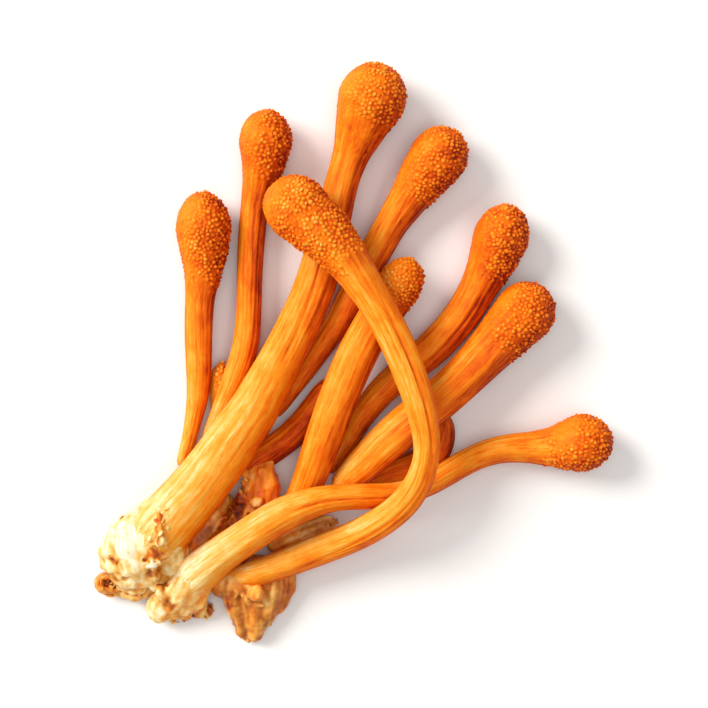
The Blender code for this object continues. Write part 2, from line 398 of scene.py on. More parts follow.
def ring_places(path, near_head):
    """Where the rings lie along a profile: far apart on the stem, close together on the head."""
    places, here = [TIP_GAP], TIP_GAP
    while here < path[-1] - TIP_GAP:
        close = np.interp(here, path, near_head)
        tip = min(1.0, (path[-1] - here) / 1.2, (here + 0.15) / 1.2)
        step = (STEM_STEP * (1 - close) + HEAD_STEP * close) * (0.35 + 0.65 * tip)
        here = min(here + step, path[-1] - TIP_GAP)
        places.append(here)
    return np.array(places)


def granules(rng, number, patch, facing, share):
    """How high the granules stand at each point of a head, and how densely they are packed there.
    `share` is how far each point belongs to the head."""
    seeds = scatter(patch, GRANULE_APART, rng)
    spots, share = patch[seeds], share[seeds]
    present = share + 0.5 * noise_at(spots, 1.5, number) + rng.uniform(-0.2, 0.2, len(seeds)) > 0.36
    present &= share > 0.12
    present &= rng.random(len(seeds)) > 0.08 + 0.25 * ease(0.1, 0.5, noise_at(spots, 0.8, number + 20))
    smooth = facing[seeds] @ SMOOTH_SIDE + 0.55 * noise_at(spots, 2.6, number + 40)
    fullness = present * (0.45 + 0.55 * share) * (1 - 0.75 * ease(0.10, 0.75, smooth))
    reaches = GRANULE_RADIUS * rng.uniform(0.66, 1.30, len(seeds))
    heights = fullness * rng.uniform(0.45, 1.2, len(seeds))
    longer = unit(rng.normal(0, 1, (len(seeds), 3)))
    tree = tree_of(spots)
    height, dense = np.zeros(len(patch)), np.zeros(len(patch))
    for i, point in enumerate(patch):
        (_, first, near), (_, second, next_near) = tree.find_n(point, 2)
        aside = (point - spots[first]) @ longer[first]
        dome = max(0.0, 1 - (near * near + 0.9 * aside * aside) / reaches[first] ** 2) ** 0.6
        between = min(1.0, (next_near - near) / 0.12)
        height[i] = dome * (0.5 + 0.5 * between) * heights[first]
        dense[i] = fullness[first] * fullness[second]
    return height, dense


def ring_faces(index):
    """The faces between neighbouring rings of points. A coarse ring has every second column of a
    fine one, and -1 in the others."""
    faces = []
    for low, high in zip(index[:-1], index[1:]):
        if (low >= 0).all() == (high >= 0).all():
            a, b = low[low >= 0], high[high >= 0]
            corners = [(a, np.roll(a, -1), np.roll(b, -1), b)]
        else:
            a, b, between = low[::2], high[::2], high[1::2]
            next_a, next_b = np.roll(a, -1), np.roll(b, -1)
            corners = [(a, between, b), (a, next_a, between), (next_a, next_b, between)]
        for columns in corners:
            faces.extend(np.stack(columns, axis=1).tolist())
    return faces


def grow_body(name, number, base):
    """The visible surface of one fruiting body."""
    rng = np.random.default_rng(100 + number)
    ripeness, depth, start = LOOKS[name]
    line, radii = centre_line(name, base)
    along, shape = outline(line, radii)
    head, widest = head_share(start, shape)
    has_head = not name.endswith("rear")
    if not has_head:
        head[:] = 0.0
    fine = 2 * int(round(math.pi * widest / HEAD_STEP)) if has_head else 160
    near_head = ease(0.0, 0.05, head)
    path = np.concatenate([[0], np.cumsum(np.linalg.norm(np.diff(shape, axis=0), axis=1))])
    places = ring_places(path, near_head)
    ring_along = np.interp(places, path, shape[:, 0])
    ring_radius = np.interp(places, path, shape[:, 1])
    if name.endswith(("trunk", "low_right", "curled")):
        # These roots narrow inside the tissue of their base.
        ring_radius *= 1 - 0.42 * ease(5.0, 0.5, ring_along)
    ring_head = np.interp(places, path, head)
    ring_fine = np.interp(places, path, near_head) > 0.3
    if has_head:
        ring_fine[int(np.argmax(ring_fine)):] = True
    slope_along = np.gradient(ring_along, places)
    slope_radius = np.gradient(ring_radius, places)

    def on_rings(values):
        return np.stack([np.interp(ring_along, along, column) for column in values.T], axis=1)

    centre = on_rings(line)
    tangent, side, other = [unit(on_rings(values)) for values in directions(line)]
    turns = np.linspace(0, 2 * math.pi, fine, endpoint=False)
    folds = waves(rng, turns, ring_along, (2, 3, 4, 5, 6), 9.0, 0.034 * depth)
    folds += waves(rng, turns, ring_along, (7, 9, 11, 13), 6.0, 0.016 * depth)
    strands = waves(rng, turns, ring_along, (14, 17, 21, 25, 30, 36), 4.0, 0.034)
    cuts = grooves(rng, turns, ring_along, 9, 0.13 * depth)
    calm = 1 - 0.75 * ring_head[:, None]
    end = ease(0, 1.5, ring_along)[:, None]
    radial = ring_radius[:, None] * (1 + folds * calm * end)
    radial += (strands - cuts) * calm * end * np.minimum(1, ring_radius[:, None] / 2)
    cos, sin = np.cos(turns), np.sin(turns)
    outward = side[:, None] * cos[None, :, None] + other[:, None] * sin[None, :, None]
    grid = centre[:, None] + outward * radial[..., None]
    normal = unit(
        outward * slope_along[:, None, None] - tangent[:, None] * slope_radius[:, None, None]
    )
    granule, packed = np.zeros(radial.shape), np.zeros(radial.shape)
    if has_head:
        rows = np.nonzero(ring_head > 0.0)[0]
        height, dense = granules(rng, number, grid[rows].reshape(-1, 3),
                                 normal[rows].reshape(-1, 3), np.repeat(ring_head[rows], fine))
        granule[rows] = height.reshape(len(rows), fine)
        packed[rows] = dense.reshape(len(rows), fine)
        grid += normal * (granule * GRANULE_HEIGHT - GRANULE_SINK * GRANULE_HEIGHT * packed)[..., None]

    # Each point's way from cream to red-orange, with light and shade painted in: painted light on the side
    # facing the light and painted shade on the side away from it, painted shade on the sides, painted
    # highlights on the ridges of the folds and on top of the granules, and painted shade in the valleys of
    # the folds and between packed granules.
    lit = normal @ LIGHT_SIDE
    wander = 2.5 * waves(rng, turns, ring_along, (1, 2, 3), 8.0, 1.0)
    stages = np.array(ripeness, float)
    tone = np.interp(ring_along[:, None] + wander, stages[:, 0], stages[:, 1])
    tone = tone - 0.20 * np.maximum(lit, -0.7) + 0.18 * (1 - normal[..., 2]).clip(0, 1) ** 1.5
    tone = tone - 0.5 * folds / depth + 0.02 + 0.04 * ring_head[:, None]
    tone = tone + 0.12 * packed * (1 - granule) ** 2 - 0.32 * granule ** 1.4
    # Painted shade in the grooves and between the strands, and painted highlight on the raised strands.
    crease_shade = np.clip(0.8 * cuts / (0.13 * depth) - 0.30 * strands / 0.034, -1, 1) * calm
    reach_round = np.maximum(ring_radius[:, None], 0.8)
    strand_field = np.stack([
        cos * reach_round, sin * reach_round,
        np.broadcast_to(ring_along[:, None] * 0.09 + number * 11, radial.shape),
    ], axis=-1)

    # The stem has every second column, and the head has them all.
    keep = np.zeros(radial.shape, bool)
    keep[:, ::2] = True
    keep[ring_fine] = True
    index = np.where(keep, np.cumsum(keep).reshape(keep.shape) - 1, -1)
    points = np.vstack([grid[keep], centre[0], centre[-1]])
    points[:, 2] = np.maximum(points[:, 2], LOWEST)
    faces = ring_faces(index)
    first_ring = index[0][index[0] >= 0]
    last_ring = index[-1][index[-1] >= 0]
    root, tip = len(points) - 2, len(points) - 1
    faces.extend([[root, b, a] for a, b in zip(first_ring, np.roll(first_ring, -1))])
    faces.extend([[tip, a, b] for a, b in zip(last_ring, np.roll(last_ring, -1))])

    def field(values):
        values = np.broadcast_to(values, radial.shape)
        return np.concatenate([values[keep], [values[0, 0], values[-1, 0]]])

    made = make_object(
        "grown_" + name, points, faces,
        {
            "tone": field(tone), "head": field(ring_head[:, None]), "crease_shade": field(crease_shade),
        },
        {"strand": np.vstack([strand_field[keep], strand_field[0, 0], strand_field[-1, 0]])},
    )
    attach(made, "root")
    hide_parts(name)
    made.data.materials.append(flesh)


def lumps(points, size, seed):
    """Smooth random values from about -1 to 1, with features about `size` mm across."""
    places = points / (size * 1.4) + seed * 17.31
    cell = np.floor(places).astype(np.int64)
    part = places - cell
    soft = part ** 3 * (part * (part * 6 - 15) + 10)
    total = np.zeros(points.shape[:-1])
    for corner in itertools.product((0, 1), repeat=3):
        x, y, z = np.moveaxis(cell + np.array(corner), -1, 0)
        mixed = (x * 374761393 + y * 668265263 + z * 1013904223 + seed * 69069) & 0x7FFFFFFF
        mixed = ((mixed ^ (mixed >> 13)) * 1274126177) & 0x7FFFFFFF
        mixed = mixed ^ (mixed >> 16)
        away = part - np.array(corner)
        slope = sum(((mixed >> 8 * i & 0xFF) / 127.5 - 1) * away[..., i] for i in range(3))
        total += slope * np.prod(np.where(np.array(corner) == 1, soft, 1 - soft), axis=-1)
    return total * 2.2


class Growth:
    """A mass grown on a grid: each grid point's distance from its surface, in mm, less than 0 inside."""

    def __init__(self, seed, low, high, step=0.12):
        self.seed, self.rng = seed, np.random.default_rng(70 + seed)
        axes = [np.arange(a, b + step, step) for a, b in zip(low, high)]
        self.low, self.step = np.array(low, float), step
        self.grid = np.stack(np.meshgrid(*axes, indexing="ij"), axis=-1)
        self.value = np.full(self.grid.shape[:3], 5.0)

    def near(self, middle, reach):
        """The part of the grid round a place."""
        first = np.floor((np.array(middle) - reach - self.low) / self.step).astype(int)
        last = np.ceil((np.array(middle) + reach - self.low) / self.step).astype(int) + 1
        return tuple(slice(max(0, a), max(0, b)) for a, b in zip(first, last))

    def blend(self, window, distance, soft):
        """Adds a shape and rounds off its seam with the mass."""
        old = self.value[window]
        part = np.clip(0.5 + 0.5 * (old - distance) / soft, 0, 1)
        self.value[window] = old * (1 - part) + distance * part - soft * part * (1 - part)

    def lump(self, middle, sizes, soft=0.7, sides=None, bend=0.0):
        """An ellipsoid, which `sides` turns and `bend` curves along its first side."""
        window = self.near(middle, max(sizes) + 1.5)
        local = self.grid[window] - np.array(middle)
        if sides is not None:
            local = local @ np.array(sides).T
        if bend:
            local = local.copy()
            local[..., 2] -= bend * local[..., 0] ** 2
        sizes = np.array(sizes, float)
        outer = np.linalg.norm(local / sizes, axis=-1)
        inner = np.maximum(np.linalg.norm(local / sizes ** 2, axis=-1), 1e-6)
        self.blend(window, outer * (outer - 1) / inner, soft)

    def cord(self, points, soft=0.7):
        """A rounded cord through points that each have their own radius."""
        for start, stop in zip(points[:-1], points[1:]):
            a, b = np.array(start[:3], float), np.array(stop[:3], float)
            middle = (a + b) / 2
            window = self.near(middle, np.linalg.norm(b - a) / 2 + max(start[3], stop[3]) + 1.5)
            local = self.grid[window] - a
            part = np.clip(local @ (b - a) / ((b - a) @ (b - a)), 0, 1)
            distance = np.linalg.norm(local - part[..., None] * (b - a), axis=-1)
            self.blend(window, distance - start[3] - part * (stop[3] - start[3]), soft)

    def flakes(self, line, count, size, spread, soft=0.2):
        """Thin bent flakes of torn skin strewn along a line."""
        rng, line = self.rng, np.array(line, float)
        for _ in range(count):
            i = rng.integers(len(line) - 1)
            way = unit(line[i + 1] - line[i])
            place = line[i] + (line[i + 1] - line[i]) * rng.random() + rng.normal(0, spread, 3)
            flat = unit(rng.normal(0, 1, 3) + np.array([0, 0, 0.3]))
            first = unit(way + 0.7 * rng.normal(0, 1, 3))
            first = unit(first - flat * (first @ flat))
            sizes = np.array([rng.uniform(0.7, 1.3), rng.uniform(0.4, 0.9), 0.22]) * size
            sizes[2] = max(sizes[2], 0.13)
            self.lump(place, sizes, soft, (first, np.cross(flat, first), flat), rng.uniform(-0.5, 0.5))

    def pit(self, middle, radius, soft=0.15):
        """A round hollow."""
        window = self.near(middle, radius + 1.0)
        distance = np.linalg.norm(self.grid[window] - np.array(middle), axis=-1) - radius
        old = self.value[window]
        part = np.clip(0.5 - 0.5 * (old + distance) / soft, 0, 1)
        self.value[window] = old * (1 - part) - distance * part + soft * part * (1 - part)

    def roughen(self, flow, strength=1.0, streaks=1.0, calm=()):
        """Folds along the flow of the fibres, then finer and finer lumps. Round each place in `calm`,
        out to its radius, the skin stays smoother."""
        band = np.abs(self.value) < 1.2
        where = self.grid[band]
        self.flow = unit(np.array(flow, float))
        drawn = where - 0.86 * (where @ self.flow)[:, None] * self.flow
        seed = 10 * self.seed + 1
        change = 0.13 * streaks * lumps(drawn, 0.55, seed)
        change += 0.14 * lumps(where, 1.3, seed + 1) + 0.06 * lumps(where, 0.6, seed + 2)
        change += 0.03 * lumps(where, 0.32, seed + 3)
        for x, y, z, radius in calm:
            away = np.linalg.norm(where - np.array([x, y, z]), axis=1)
            change *= 0.12 + 0.88 * ease(0.5 * radius, radius, away)
        self.value[band] += change * strength

    def skin(self):
        """The surface as points in mm and four-sided faces."""
        value = self.value
        value[[0, -1]] = value[:, [0, -1]] = 5.0
        value[:, :, [0, -1]] = 5.0
        inside = value < 0
        size = np.array(value.shape) - 1
        corners = list(itertools.product((0, 1), repeat=3))
        count = sum(
            inside[i:size[0] + i, j:size[1] + j, k:size[2] + k].astype(int) for i, j, k in corners
        )
        cells = np.argwhere((count > 0) & (count < 8))
        number = -np.ones(size, int)
        number[tuple(cells.T)] = np.arange(len(cells))
        total, weight = np.zeros((len(cells), 3)), np.zeros(len(cells))
        for one, two in itertools.combinations(corners, 2):
            if sum(abs(a - b) for a, b in zip(one, two)) != 1:
                continue
            first = value[tuple((cells + one).T)]
            second = value[tuple((cells + two).T)]
            crossed = (first < 0) != (second < 0)
            part = first[crossed] / (first[crossed] - second[crossed])
            total[crossed] += np.array(one) + part[:, None] * (np.array(two) - np.array(one))
            weight[crossed] += 1
        points = (cells + total / weight[:, None]) * self.step + self.low
        faces = []
        for axis in range(3):
            u, v = [np.eye(3, dtype=int)[(axis + k) % 3] for k in (1, 2)]
            step = np.eye(3, dtype=int)[axis]
            a = np.argwhere(inside[:-1, :-1, :-1] != np.roll(inside, -1, axis)[:-1, :-1, :-1])
            a = a[(a @ u > 0) & (a @ v > 0)]
            quad = np.stack([
                number[tuple((a - shift).T)] for shift in (u * 0, u, u + v, v)
            ], axis=1)
            out = inside[tuple(a.T)]
            quad[~out] = quad[~out][:, ::-1]
            faces.append(quad[(quad >= 0).all(axis=1)])
        return points, np.vstack(faces)


def blurred_over(values, edges, rounds):
    """Values evened out over a mesh's edges."""
    for _ in range(rounds):
        total = np.zeros_like(values)
        weight = np.zeros(len(values))
        for one, two in ((0, 1), (1, 0)):
            for column in range(values.shape[1]):
                total[:, column] += np.bincount(
                    edges[:, one], values[edges[:, two], column], minlength=len(values))
            weight += np.bincount(edges[:, one], minlength=len(values))
        values = total / np.maximum(weight, 1)[:, None]
    return values


def largest_part(points, faces):
    """The biggest connected part of a mesh, without the crumbs that float beside it."""
    edges = faces[:, [0, 1, 1, 2, 2, 3]].reshape(-1, 2)
    label = np.arange(len(points))
    while True:
        lowest = label.copy()
        np.minimum.at(lowest, edges[:, 0], label[edges[:, 1]])
        np.minimum.at(lowest, edges[:, 1], label[edges[:, 0]])
        lowest = lowest[lowest]
        if (lowest == label).all():
            break
        label = lowest
    kept = faces[label[faces[:, 0]] == np.bincount(label).argmax()]
    used, index = np.unique(kept, return_inverse=True)
    return points[used], index.reshape(kept.shape)


def finish_base(name, growth, age, spots):
    """A grown mass as a mesh. Its `age` runs from 0 for fresh cream to 1 for dark brown; `spots`
    are places with a radius, a change of tone and how orange they are."""
    points, faces = largest_part(*growth.skin())
    points[:, 2] = np.maximum(points[:, 2], LOWEST)
    edges = np.unique(np.sort(np.concatenate(
        [faces[:, [i, (i + 1) % 4]] for i in range(4)]), axis=1), axis=0)
    points = 0.5 * points + 0.5 * blurred_over(points, edges, 1)
    normal = np.zeros_like(points)
    a, b, c, d = [points[faces[:, corner]] for corner in range(4)]
    crossed = np.cross(c - a, d - b)
    for corner in range(4):
        for column in range(3):
            normal[:, column] += np.bincount(faces[:, corner], crossed[:, column], minlength=len(points))
    normal = unit(normal)
    wide = ((blurred_over(points, edges, 12) - points) * normal).sum(axis=1)
    close = ((blurred_over(points, edges, 3) - points) * normal).sum(axis=1)
    lit = normal @ LIGHT_SIDE
    drawn = points - 0.9 * (points @ growth.flow)[:, None] * growth.flow
    seed = growth.seed + 60
    tone = age + 0.11 * lumps(points, 1.7, seed) + 0.07 * lumps(points, 0.7, seed + 1)
    tone += 0.12 * lumps(drawn, 0.36, seed + 2) + 0.04 * lumps(points, 0.25, seed + 3)
    # Painted shade in hollows and painted highlight on bulges, and painted light on the side facing the
    # light with painted shade on the side away from it.
    tone += np.clip(0.8 * wide, -0.12, 0.30) + np.clip(1.8 * close, -0.12, 0.26) - 0.08 * lit
    # Darker towards the bottom, near the floor.
    tone += 0.16 * ease(1.6, 0.2, points[:, 2])
    warm = 0.38 * ease(0.0, 0.7, lumps(drawn, 0.8, seed + 4) + 0.3 * lumps(points, 1.5, seed + 5))
    for x, y, z, radius, tone_change, orange in spots:
        gap = np.linalg.norm(points - np.array([x, y, z]), axis=1) + 0.3 * radius * lumps(points, 0.6, 77)
        part = ease(radius, 0.45 * radius, gap)
        tone += part * tone_change
        warm = np.maximum(warm, part * orange)
    made = make_object("grown_" + name, points, faces.tolist(), {"tone": tone, "warm": warm})
    made.data.materials.append(tissue)
    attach(made, "root")
    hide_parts(name)


def grow_base_left():
    g = Growth(1, (-31.2, -30.4, -0.5), (-17.2, -15.2, 9.2))
    g.cord([(-21.0, -18.8, 4.2, 2.60), (-22.6, -20.7, 4.2, 3.36), (-24.9, -23.3, 3.3, 3.1)])
    g.lump((-26.0, -24.6, 2.4), (3.2, 3.0, 2.4))
    g.lump((-21.3, -23.4, 2.9), (2.2, 2.7, 2.3), 0.4)
    g.lump((-21.5, -25.7, 1.9), (1.6, 1.5, 1.6), 0.5)
    g.cord([(-23.6, -17.6, 4.6, 1.0), (-26.1, -20.4, 4.8, 1.5), (-26.0, -22.4, 5.0, 1.75),
            (-25.2, -24.4, 4.4, 1.65), (-24.6, -26.0, 3.2, 1.2)], 0.2)
    g.cord([(-25.2, -18.9, 3.4, 1.0), (-27.4, -20.9, 3.4, 1.2), (-28.1, -22.6, 3.3, 1.35),
            (-27.6, -24.6, 3.0, 1.3)], 0.22)
    g.cord([(-29.1, -23.2, 3.0, 0.75), (-28.3, -23.1, 4.4, 0.7), (-27.5, -23.6, 4.9, 0.5)], 0.15)
    g.cord([(-29.1, -24.6, 2.5, 0.7), (-28.3, -24.8, 3.9, 0.7), (-27.2, -25.0, 4.3, 0.55)], 0.15)
    g.cord([(-24.0, -24.6, 4.4, 1.0), (-23.2, -26.6, 2.9, 1.1)], 0.25)
    for y, z in ((-26.5, 3.1), (-27.3, 2.3), (-28.1, 1.4)):
        g.cord([(-27.4, y + 0.2, z - 0.5, 0.5), (-25.9, y - 0.4, z, 0.45), (-24.7, y - 0.1, z + 0.1, 0.42),
                (-23.7, y + 0.6, z, 0.38)], 0.1)
    g.cord([(-21.9, -17.9, 7.6, 0.2), (-22.3, -19.4, 7.6, 0.35), (-22.9, -20.9, 7.3, 0.45),
            (-23.2, -22.6, 6.7, 0.5), (-23.4, -24.4, 5.7, 0.5), (-23.1, -26.2, 4.0, 0.5)], 0.2)
    g.flakes([(-21.6, -17.2, 7.8), (-22.4, -19.8, 7.8), (-22.9, -21.6, 7.4),
              (-23.5, -24.2, 6.2)], 54, 0.50, 0.36)
    g.flakes([(-21.2, -18.4, 7.9), (-21.8, -20.4, 7.4), (-22.4, -22.6, 6.6)], 20, 0.40, 0.30)
    g.flakes([(-22.5, -20.9, 7.2), (-22.6, -22.6, 6.5), (-22.6, -24.6, 5.3)], 26, 0.42, 0.42, 0.4)
    g.flakes([(-29.2, -21.2, 2.6), (-29.6, -23.6, 2.6), (-29.0, -25.4, 2.2)], 8, 0.6, 0.3)
    g.flakes([(-28.8, -22.6, 4.4), (-27.6, -24.0, 4.8), (-28.2, -25.4, 3.6)], 4, 0.6, 0.25)
    g.flakes([(-27.4, -27.2, 1.6), (-25.6, -28.4, 1.0), (-23.6, -27.2, 1.6)], 12, 0.7, 0.3)
    g.flakes([(-27.6, -20.0, 3.8), (-28.6, -20.6, 3.2)], 3, 0.5, 0.3)
    for x, y, z in ((-21.0, -17.9, 7.9), (-20.8, -19.2, 7.6), (-24.2, -23.8, 6.2), (-28.1, -24.0, 4.9),
            (-26.6, -26.1, 4.2)):
        g.pit((x, y, z), 0.34)
    g.roughen((-0.1, 1.0, -0.2), 0.6, 1.3, ((-25.8, -21.4, 6.0, 4.6), (-20.9, -20.9, 6.0, 2.8)))
    finish_base("base_left", g, 0.25, (
        (-22.0, -18.6, 8.2, 1.5, 0.24, 0.8), (-22.3, -20.0, 8.0, 1.4, 0.22, 0.7),
        (-22.9, -21.6, 7.4, 1.1, 0.22, 0.6), (-23.2, -23.2, 6.7, 1.2, 0.28, 0.4),
        (-23.3, -25.2, 5.0, 1.2, 0.34, 0.1), (-28.2, -25.9, 3.0, 1.6, 0.36, 0.0),
        (-28.0, -24.0, 4.9, 0.8, 0.38, 0.0), (-20.2, -20.0, 6.4, 2.6, 0.10, 0.7),
        (-19.7, -21.8, 4.0, 2.0, 0.14, 0.8), (-22.3, -23.0, 6.4, 1.7, 0.12, 0.5),
        # Pale spots along the smooth lobe, at -26.1, -21.8 and -25.4, -24.4: its cream colour and a painted
        # highlight.
        (-24.5, -23.4, 6.0, 1.2, 0.22, 0.3), (-26.1, -21.8, 6.2, 2.8, -0.28, 0.0),
        (-25.4, -24.4, 5.6, 1.4, -0.12, 0.0),
        (-25.4, -28.2, 1.4, 1.8, 0.18, 0.0),
    ))


def grow_base_middle():
    g = Growth(2, (-25.6, -32.8, -0.5), (-15.2, -23.6, 7.0))
    g.cord([(-16.7, -24.2, 4.5, 1.9), (-18.2, -25.6, 3.8, 2.1), (-20.0, -27.6, 2.9, 2.1)])
    g.lump((-20.4, -28.6, 1.9), (2.8, 2.1, 1.8))
    g.cord([(-17.6, -24.6, 4.9, 1.1), (-19.6, -26.6, 4.2, 1.25), (-21.7, -28.0, 3.0, 1.15),
            (-23.0, -29.4, 2.0, 1.1), (-23.2, -30.4, 1.5, 0.8)], 0.18)
    g.cord([(-17.2, -24.6, 5.0, 1.1), (-19.0, -26.5, 4.4, 1.2), (-20.6, -28.3, 3.3, 1.15),
            (-21.4, -30.2, 1.8, 1.0)], 0.18)
    g.cord([(-16.8, -24.8, 4.6, 1.2), (-18.3, -26.7, 3.9, 1.2), (-19.4, -28.6, 3.0, 1.1),
            (-19.7, -30.4, 1.5, 0.9)], 0.18)
    g.cord([(-16.6, -25.2, 3.9, 1.1), (-17.7, -27.0, 3.2, 1.1), (-18.2, -28.8, 2.4, 1.0),
            (-18.2, -30.2, 1.2, 0.8)], 0.18)
    g.lump((-22.6, -29.7, 1.8), (1.5, 1.8, 1.7), 0.25)
    g.cord([(-22.9, -27.0, 3.7, 0.45), (-22.2, -28.3, 4.0, 0.4), (-21.4, -29.6, 3.3, 0.35),
            (-20.7, -30.7, 2.2, 0.4)], 0.12)
    g.flakes([(-23.2, -26.9, 3.7), (-22.2, -28.2, 4.0), (-21.3, -29.6, 3.4),
              (-20.6, -30.8, 2.2)], 24, 0.40, 0.2)
    g.flakes([(-23.6, -30.4, 0.9), (-21.6, -31.0, 0.9), (-19.0, -30.8, 0.9),
              (-17.2, -30.0, 1.0)], 30, 0.5, 0.28)
    g.flakes([(-18.0, -29.8, 1.6), (-16.8, -29.7, 0.9)], 8, 0.5, 0.25)
    for x in (-23.4, -22.5, -21.8):
        g.pit((x, -26.8, 4.1), 0.3)
    g.roughen((0.5, 1.0, 0.1), 0.6, 2.0, ((-18.2, -26.0, 4.6, 3.6), (-22.7, -29.9, 2.4, 1.8)))
    finish_base("base_middle", g, 0.32, (
        (-18.2, -25.6, 5.4, 3.0, -0.06, 0.50), (-22.4, -26.8, 4.0, 1.1, 0.42, 0.0),
        (-21.6, -29.2, 3.8, 1.0, 0.24, 0.0), (-22.9, -29.9, 2.6, 1.5, -0.22, 0.0),
        (-17.8, -28.4, 3.2, 2.6, -0.04, 0.85), (-19.4, -30.8, 1.2, 1.8, 0.24, 0.1),
        (-17.0, -29.8, 0.8, 1.2, 0.3, 0.0),
    ))


def grow_base_right():
    g = Growth(3, (-17.2, -35.2, -0.5), (-5.2, -21.6, 6.6))
    g.cord([(-9.0, -24.6, 2.6, 1.0), (-10.9, -25.4, 2.6, 1.45), (-13.4, -26.6, 2.6, 1.6),
            (-15.4, -27.0, 2.2, 1.6)])
    g.lump((-11.5, -26.8, 1.6), (3.9, 3.3, 1.8))
    g.lump((-11.6, -29.6, 1.4), (2.7, 2.9, 1.5))
    g.cord([(-13.4, -25.6, 2.8, 1.3), (-14.3, -27.6, 2.3, 1.35), (-13.7, -29.8, 1.8, 1.1),
            (-13.1, -31.6, 1.3, 0.9), (-13.3, -32.5, 1.0, 0.7)], 0.22)
    g.cord([(-11.8, -25.4, 3.0, 1.5), (-12.0, -28.4, 2.5, 1.4), (-11.4, -31.2, 1.7, 1.25),
            (-11.6, -32.9, 1.2, 0.95)], 0.22)
    g.cord([(-9.6, -24.9, 2.6, 1.4), (-9.5, -27.6, 2.2, 1.4), (-10.2, -30.4, 1.6, 1.15)], 0.22)
    g.cord([(-7.9, -24.9, 1.7, 1.1), (-7.9, -27.4, 1.5, 1.05), (-8.9, -29.6, 1.2, 0.85)], 0.22)
    g.lump((-11.3, -27.8, 4.15), (1.05, 1.05, 0.95), 0.1)
    g.cord([(-12.6, -27.0, 3.7, 0.3), (-12.9, -28.1, 3.6, 0.3), (-12.2, -29.1, 3.5, 0.3),
            (-10.8, -29.3, 3.3, 0.3)], 0.15)
    g.flakes([(-15.4, -26.4, 2.4), (-14.6, -28.8, 2.0), (-13.8, -31.2, 1.4)], 12, 0.5, 0.3)
    g.flakes([(-13.6, -32.6, 0.9), (-11.6, -33.6, 0.9), (-10.2, -31.6, 1.2),
              (-7.8, -29.4, 1.2)], 13, 0.45, 0.25)
    g.flakes([(-14.6, -26.8, 3.6), (-13.2, -28.4, 3.6)], 7, 0.4, 0.25)
    g.pit((-14.3, -29.3, 2.7), 0.26)
    g.roughen((0.1, 1.0, 0.1), 0.62, 1.3)
    finish_base("base_right", g, 0.56, (
        (-11.3, -27.8, 4.6, 1.2, -0.14, 0.9), (-12.6, -27.6, 3.5, 0.8, 0.26, 0.3),
        (-14.3, -29.3, 2.6, 0.7, 0.34, 0.0),
        (-11.4, -25.2, 4.8, 3.0, -0.14, 0.95), (-8.4, -27.6, 2.0, 2.0, -0.02, 0.35),
        (-10.4, -29.4, 3.0, 1.6, -0.08, 0.2), (-11.6, -32.8, 1.8, 1.5, -0.04, 0.2),
        (-14.6, -26.0, 3.2, 1.4, -0.12, 0.1),
    ))


def grow_base_upper():
    g = Growth(4, (-16.6, -23.8, -0.5), (-6.8, -11.2, 6.2))
    g.lump((-10.7, -13.6, 1.8), (1.3, 1.9, 1.6))
    g.lump((-10.6, -15.8, 2.1), (2.0, 2.4, 1.9))
    g.lump((-11.6, -18.0, 2.0), (2.7, 2.6, 1.9))
    g.lump((-13.0, -20.2, 1.8), (2.4, 2.2, 1.7))
    g.cord([(-11.4, -13.2, 2.6, 0.6), (-12.2, -15.2, 3.2, 0.7), (-13.0, -17.2, 3.2, 0.7)], 0.2)
    g.cord([(-10.2, -12.6, 2.4, 0.8), (-9.9, -15.2, 3.4, 0.95), (-9.6, -17.4, 3.2, 0.8)], 0.2)
    g.lump((-11.3, -17.2, 3.7), (0.95, 0.8, 0.7), 0.15)
    g.flakes([(-11.4, -12.4, 2.6), (-12.6, -15.0, 3.5), (-13.6, -18.0, 3.4),
              (-14.4, -20.8, 2.8)], 20, 0.60, 0.35)
    g.flakes([(-10.4, -13.0, 3.0), (-10.2, -16.0, 3.6)], 8, 0.34, 0.35)
    for x, y, z in ((-12.2, -16.4, 3.9), (-13.9, -18.6, 3.4), (-12.2, -18.8, 3.7)):
        g.pit((x, y, z), 0.36)
    g.roughen((0.2, 1.0, 0.0), 1.1)
    finish_base("base_upper", g, 0.62, (
        (-10.0, -15.0, 3.0, 4.4, -0.12, 1.0), (-11.3, -17.2, 4.3, 1.0, -0.22, 0.2),
        (-13.6, -17.4, 3.0, 1.8, 0.34, 0.6), (-13.6, -20.6, 2.8, 2.0, 0.16, 0.4),
    ))


def grow_base_between():
    g = Growth(5, (-21.6, -25.4, -0.5), (-13.2, -15.4, 6.0))
    g.cord([(-15.4, -17.2, 1.8, 1.2), (-16.4, -19.4, 2.2, 1.6), (-18.2, -21.8, 2.0, 1.7),
            (-19.4, -23.0, 1.8, 1.5)])
    g.lump((-16.0, -20.2, 1.8), (1.9, 2.6, 1.7))
    g.cord([(-16.4, -17.6, 2.8, 0.7), (-17.0, -19.8, 3.3, 0.7), (-18.4, -21.8, 3.2, 0.6)], 0.2)
    g.flakes([(-14.8, -16.6, 2.4), (-15.4, -19.0, 3.2), (-17.2, -22.0, 3.0)], 9, 0.6, 0.3)
    g.roughen((0.7, 1.0, 0.0), 0.8, 1.4)
    finish_base("base_between", g, 0.54, (
        (-16.6, -18.6, 3.4, 1.8, -0.18, 0.0), (-15.0, -19.6, 2.8, 1.6, 0.2, 0.4),
        (-18.6, -22.6, 2.8, 1.8, 0.12, 0.5),
    ))


